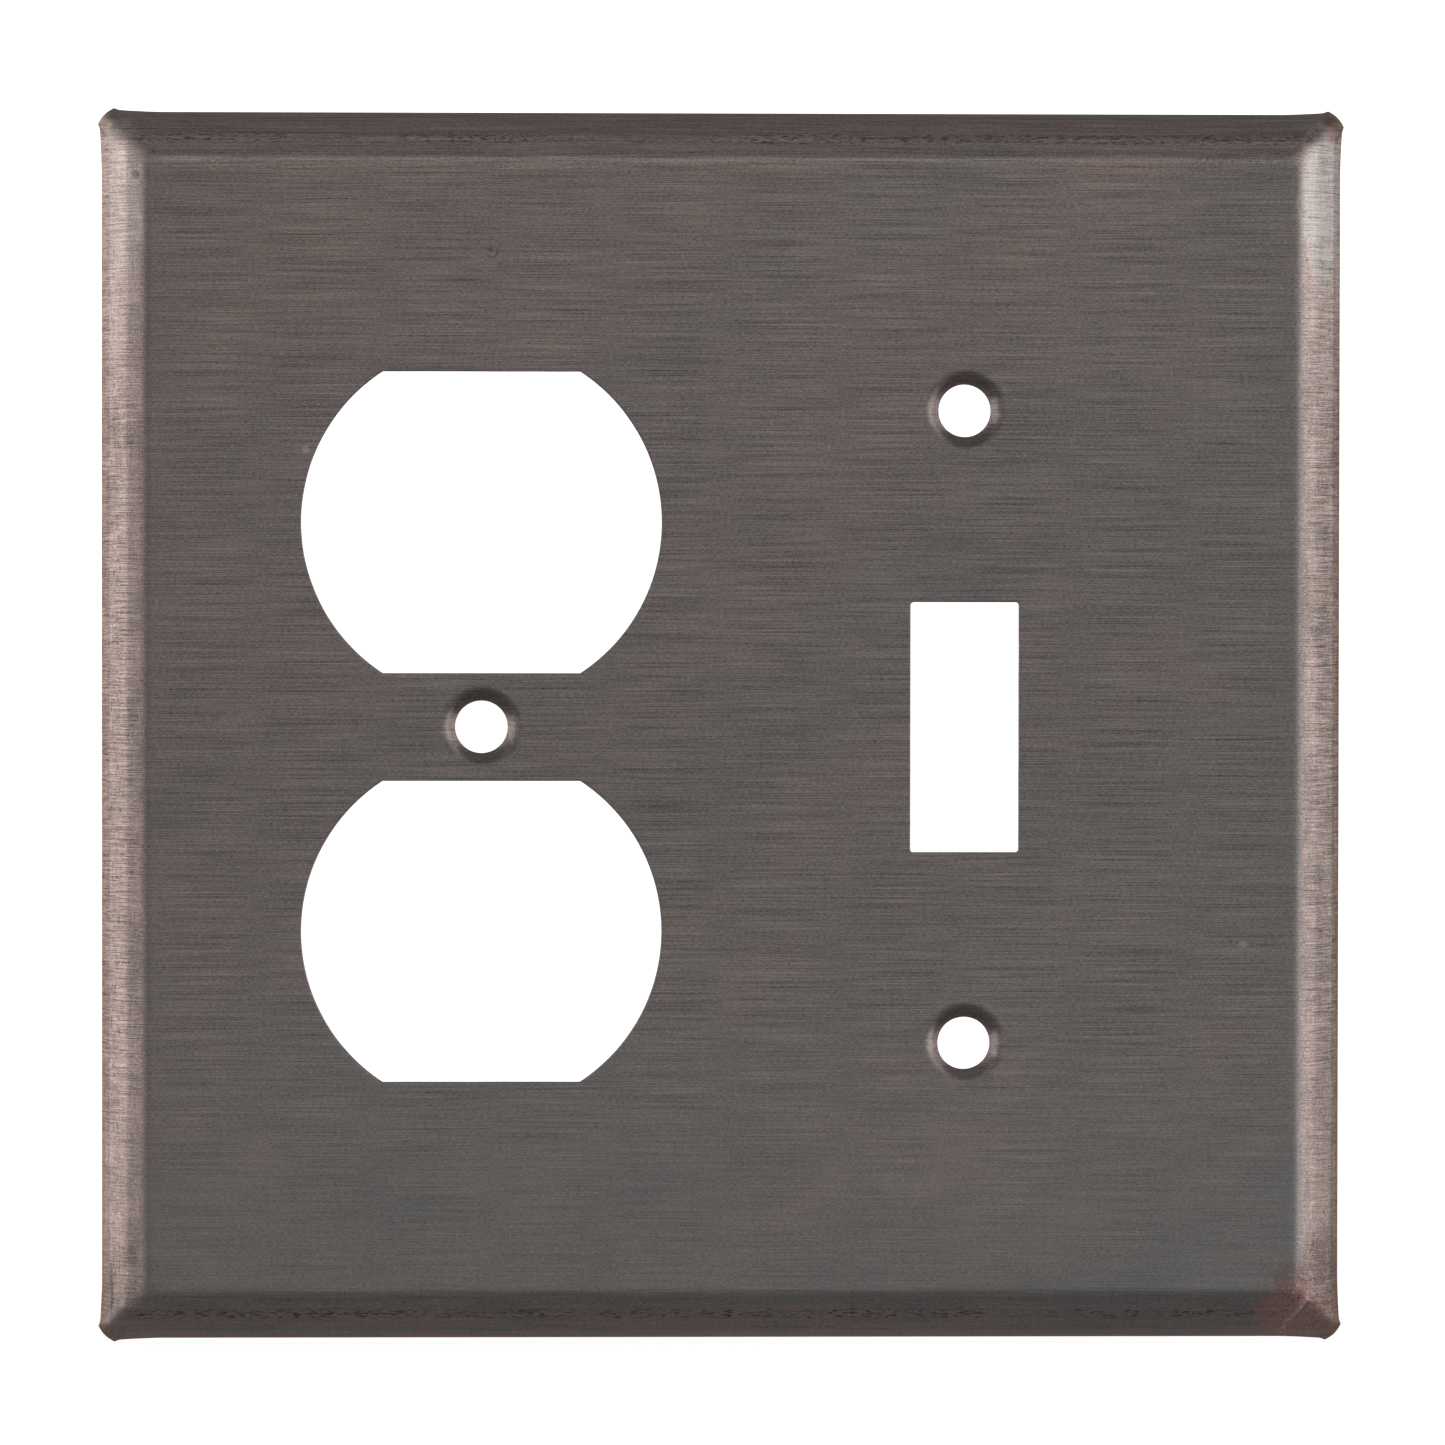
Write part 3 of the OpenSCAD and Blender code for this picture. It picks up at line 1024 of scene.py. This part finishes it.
@dataclass(frozen=True)
class CoverPlate:
    """The stamped plate, in one piece."""

    outline: RimOutline = RimOutline()
    section: RimSection = RimSection()
    finish: WeatheredBronze = WeatheredBronze()
    gang_pitch: float = 46.04 * MM
    switch_screw_pitch: float = 60.33 * MM
    receptacle_pitch: float = 38.95 * MM
    face_spacing: float = 2.0 * MM
    face_sag: float = 0.03 * MM
    rim_waver: float = 0.022 * MM
    crease: tuple[Place, ...] = ((55.9 * MM, -54.7 * MM), (54.0 * MM, -57.0 * MM), (53.7 * MM, -58.2 * MM))
    crease_height: float = 0.26 * MM
    crease_width: float = 0.19 * MM

    def dimples(self) -> list[ScrewDimple]:
        """The three screw dimples."""
        gang, screw = self.gang_pitch / 2, self.switch_screw_pitch / 2
        return [ScrewDimple((-gang, 0.0)), ScrewDimple((gang, screw)), ScrewDimple((gang, -screw))]

    def openings(self) -> list[Opening]:
        """Everything pierced through the face."""
        gang, middle = self.gang_pitch / 2, self.receptacle_pitch / 2
        receptacles = [ReceptacleOpening((-gang, end * middle)) for end in (-1, 1)]
        return [*receptacles, ToggleSlot((gang, 0.0)), *self.dimples()]

    def _creased(self, points: np.ndarray) -> np.ndarray:
        """How much of the crease's full height each point has.

        Args:
            points: Every point of the plate.

        Returns:
            1 along the top of the crease and 0 away from it.
        """
        places, rise = points[:, [0, 2]], -points[:, 1]
        away = np.full(len(points), 1.0)
        for start, end in zip(self.crease, self.crease[1:]):
            run, place = np.array(end) - np.array(start), places - np.array(start)
            share = np.clip(place @ run / (run @ run), 0, 1)
            away = np.minimum(away, np.linalg.norm(place - share[:, None] * run, axis=1))
        return np.exp(-((away / self.crease_width) ** 2)) * smooth_step(rise, 0.8 * MM, 2.0 * MM)

    def _shaped(self, points: np.ndarray) -> np.ndarray:
        """Adds the slight unevenness of a pressed sheet, and the crease in one corner.

        Args:
            points: Every point of the plate.

        Returns:
            The same points, moved a little.
        """
        x, z, rise = points[:, 0], points[:, 2], -points[:, 1]
        wave = np.array([noise.noise(Vector((a / (17 * MM), 0.3, b / (14 * MM)))) for a, b in zip(x, z)])
        flutter = np.array([noise.noise(Vector((a / (3 * MM), 7.1, b / (3 * MM)))) for a, b in zip(x, z)])
        deep = self.section.depth
        on_face = smooth_step(rise, deep - 1.2 * MM, deep - 0.2 * MM)
        on_rim = smooth_step(rise, 0.5 * MM, 1.5 * MM) * (1 - on_face)
        moved = points.copy()
        moved[:, 1] += on_face * self.face_sag * (0.5 + 0.5 * wave)
        side_gap = self.outline.width / 2 - np.abs(x)
        end_gap = self.outline.height / 2 - np.abs(z)
        sideways = side_gap < end_gap
        shift = on_rim * self.rim_waver * flutter
        moved[:, 0] += np.where(sideways, np.sign(x) * shift, 0)
        moved[:, 2] += np.where(sideways, 0, np.sign(z) * shift)
        ridge = self.crease_height * self._creased(points)
        moved += ridge[:, None] * np.array([0.2, -0.78, -0.6])
        low, high = (np.array(corner) for corner in CAD_BOX)
        return np.clip(moved, low, high)

    def build(self) -> bpy.types.Object:
        """Makes the plate in its place, with its finish.

        Returns:
            The finished object.
        """
        sheet, depth = self.section.sheet, self.section.depth
        mesh = SheetMesh()
        front = [mesh.ring(self.outline.loop(inset), rise) for inset, rise in self.section.front()]
        back = [mesh.ring(self.outline.loop(inset), rise) for inset, rise in self.section.back()]
        mesh.bridge_all([*back[::-1], *front])
        holes, worn = [], list(front)
        for hole in self.openings():
            places = hole.rings(sheet)
            rings = [mesh.ring(hole.loop(grow), depth - sunk) for grow, sunk in places]
            deep = next(k for k, (_, sunk) in enumerate(places) if sunk > hole.front_depth() + 0.05 * MM)
            worn += rings[:deep]
            holes.append(rings)
        for rings in holes:
            mesh.bridge_all(rings)
        mouths, ends = [rings[0] for rings in holes], [rings[-1] for rings in holes]
        worn.append(mesh.fill(front[-1], mouths, depth, self.face_spacing, Surface.FRONT))
        mesh.fill(back[-1], ends, depth - sheet, 2 * self.face_spacing, Surface.BACK)

        plain = np.vstack(mesh.points)
        points = self._shaped(plain)
        data = bpy.data.meshes.new("cover_plate_stamping")
        data.from_pydata(points.tolist(), [], mesh.faces)
        share = data.attributes.new(CREASE_SHARE, "FLOAT", "POINT")
        share.data.foreach_set("value", self._creased(plain).astype(np.float32))
        front_share = data.attributes.new(FRONT_SHARE, "FLOAT", "POINT")
        on_front = np.zeros(len(plain), np.float32)
        on_front[np.concatenate(worn)] = 1
        front_share.data.foreach_set("value", on_front)
        brushing = data.uv_layers.new(name="brushing")
        corners = np.array([loop.vertex_index for loop in data.loops])
        flat = points[corners][:, [0, 2]] / self.outline.width + 0.5
        brushing.data.foreach_set("uv", flat.ravel())
        data.shade_smooth()
        data.set_sharp_from_angle(angle=math.radians(40))
        data.materials.append(self.finish.build(self.outline, self.section, self.dimples()))
        piece = bpy.data.objects.new("stamped_plate", data)
        bpy.context.scene.collection.objects.link(piece)
        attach(piece, "root")
        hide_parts("cover_plate")
        LOG.info("%s: %d points, %d faces", piece.name, len(data.vertices), len(data.polygons))
        return piece


@dataclass(frozen=True)
class Softbox:
    """A soft light. Its bearing is from straight in front of the face, and positive to the right."""

    name: str
    bearing: float
    elevation: float
    distance: float
    width: float
    height: float
    brightness: float
    colour: Colour = (1.0, 1.0, 1.0)

    def build(self) -> bpy.types.Object:
        """Makes the light, aimed at the middle of the plate."""
        light = bpy.data.lights.new(self.name, "AREA")
        light.shape, light.size, light.size_y = "RECTANGLE", self.width, self.height
        light.energy = self.brightness * math.pi * self.width * self.height
        light.color = self.colour
        lamp = bpy.data.objects.new(self.name, light)
        turn, tilt = math.radians(self.bearing), math.radians(self.elevation)
        way = Vector((math.sin(turn) * math.cos(tilt), -math.cos(turn) * math.cos(tilt), math.sin(tilt)))
        lamp.location = way * self.distance
        lamp.rotation_euler = way.to_track_quat("Z", "Y").to_euler()
        lamp.visible_camera = False
        bpy.context.scene.collection.objects.link(lamp)
        LOG.info("%s", lamp.name)
        return lamp


@dataclass(frozen=True)
class Studio:
    """Pale floor, pale backdrop, soft lights and the camera."""

    ambient: Colour = (0.15, 0.15, 0.155)
    floor_radius: float = 2.2
    backdrop_radius: float = 2.6
    floor_finish: PaleGround = PaleGround("pale_floor", (0.96, 0.96, 0.97), 1.04, 0.88)
    backdrop_finish: PaleGround = PaleGround("pale_backdrop", (1.0, 1.0, 1.0), 1.0, 1.0)
    lights: tuple[Softbox, ...] = field(default_factory=lambda: (
        Softbox("left_softbox", -106, 9, 0.9, 0.70, 1.2, 0.84, (1.0, 0.99, 0.98)),
        Softbox("left_fill", -60, 6, 1.0, 0.6, 1.2, 0.31, (0.98, 0.99, 1.0)),
        Softbox("right_softbox", 58, 8, 0.9, 0.62, 1.2, 0.90, (0.97, 0.99, 1.0)),
        Softbox("right_fill", 106, 8, 0.9, 0.5, 1.2, 0.47, (0.95, 0.99, 1.0)),
        Softbox("front_card", 0, 4, 1.6, 1.1, 0.9, 0.207),
        Softbox("high_card", 0, 27, 1.5, 1.1, 0.20, 0.80),
        Softbox("top_card", 0, 76, 1.3, 1.1, 0.9, 0.11),
    ))
    camera_spot: tuple[float, float, float] = (-23.40 * MM, -800 * MM, 16.86 * MM)
    camera_turn: float = 1.6815
    camera_dip: float = -1.1825
    camera_roll: float = 0.068
    focal_length: float = 208.0
    film_width: float = 36.0

    def _ground(self, name: str, finish: PaleGround, low: float) -> bpy.types.Object:
        """Makes the flat floor or the round backdrop.

        Args:
            name: The object's name.
            finish: Its finish.
            low: Height of the floor.

        Returns:
            The object, hidden from reflections.
        """
        if name == "floor":
            bpy.ops.mesh.primitive_circle_add(
                vertices=128, radius=self.floor_radius, fill_type="NGON", location=(0, 0, low)
            )
        else:
            bpy.ops.mesh.primitive_uv_sphere_add(
                segments=64, ring_count=32, radius=self.backdrop_radius, location=(0, 0, low)
            )
            for kind in ("diffuse", "glossy", "shadow", "transmission", "volume_scatter"):
                setattr(bpy.context.object, "visible_" + kind, False)
        made = bpy.context.object
        made.name = name
        made.visible_glossy = False
        made.data.materials.append(finish.build())
        LOG.info("%s", name)
        return made

    def _camera(self) -> bpy.types.Object:
        """Makes the camera and takes it into use."""
        turn, dip, roll = (math.radians(a) for a in (self.camera_turn, self.camera_dip, self.camera_roll))
        ahead = Vector((math.sin(turn) * math.cos(dip), math.cos(turn) * math.cos(dip), math.sin(dip)))
        right = Vector((math.cos(turn), -math.sin(turn), 0))
        above = right.cross(ahead)
        level, tipped = right, above
        right = math.cos(roll) * level + math.sin(roll) * tipped
        above = math.cos(roll) * tipped - math.sin(roll) * level
        data = bpy.data.cameras.new("camera")
        data.lens, data.sensor_width, data.sensor_fit = self.focal_length, self.film_width, "HORIZONTAL"
        data.clip_start, data.clip_end = 0.01, 20
        camera = bpy.data.objects.new("camera", data)
        pose = Matrix((right, above, -ahead)).transposed().to_4x4()
        pose.translation = Vector(self.camera_spot)
        camera.matrix_world = pose
        bpy.context.scene.collection.objects.link(camera)
        bpy.context.scene.camera = camera
        return camera

    def build(self) -> None:
        """Sets up the stage under and round the plate."""
        low = CAD_BOX[0].z
        self._ground("floor", self.floor_finish, low)
        self._ground("backdrop", self.backdrop_finish, low)
        for light in self.lights:
            light.build()
        world = bpy.data.worlds.new("studio")
        world.use_nodes = True
        world.node_tree.nodes["Background"].inputs[0].default_value = (*self.ambient, 1.0)
        bpy.context.scene.world = world
        bpy.context.scene.view_settings.view_transform = "Standard"
        self._camera()


def main() -> None:
    """Builds the plate and its stage."""
    logging.basicConfig(level=logging.INFO, format="%(message)s")
    CoverPlate().build()
    Studio().build()


if __name__ == "__main__":
    main()
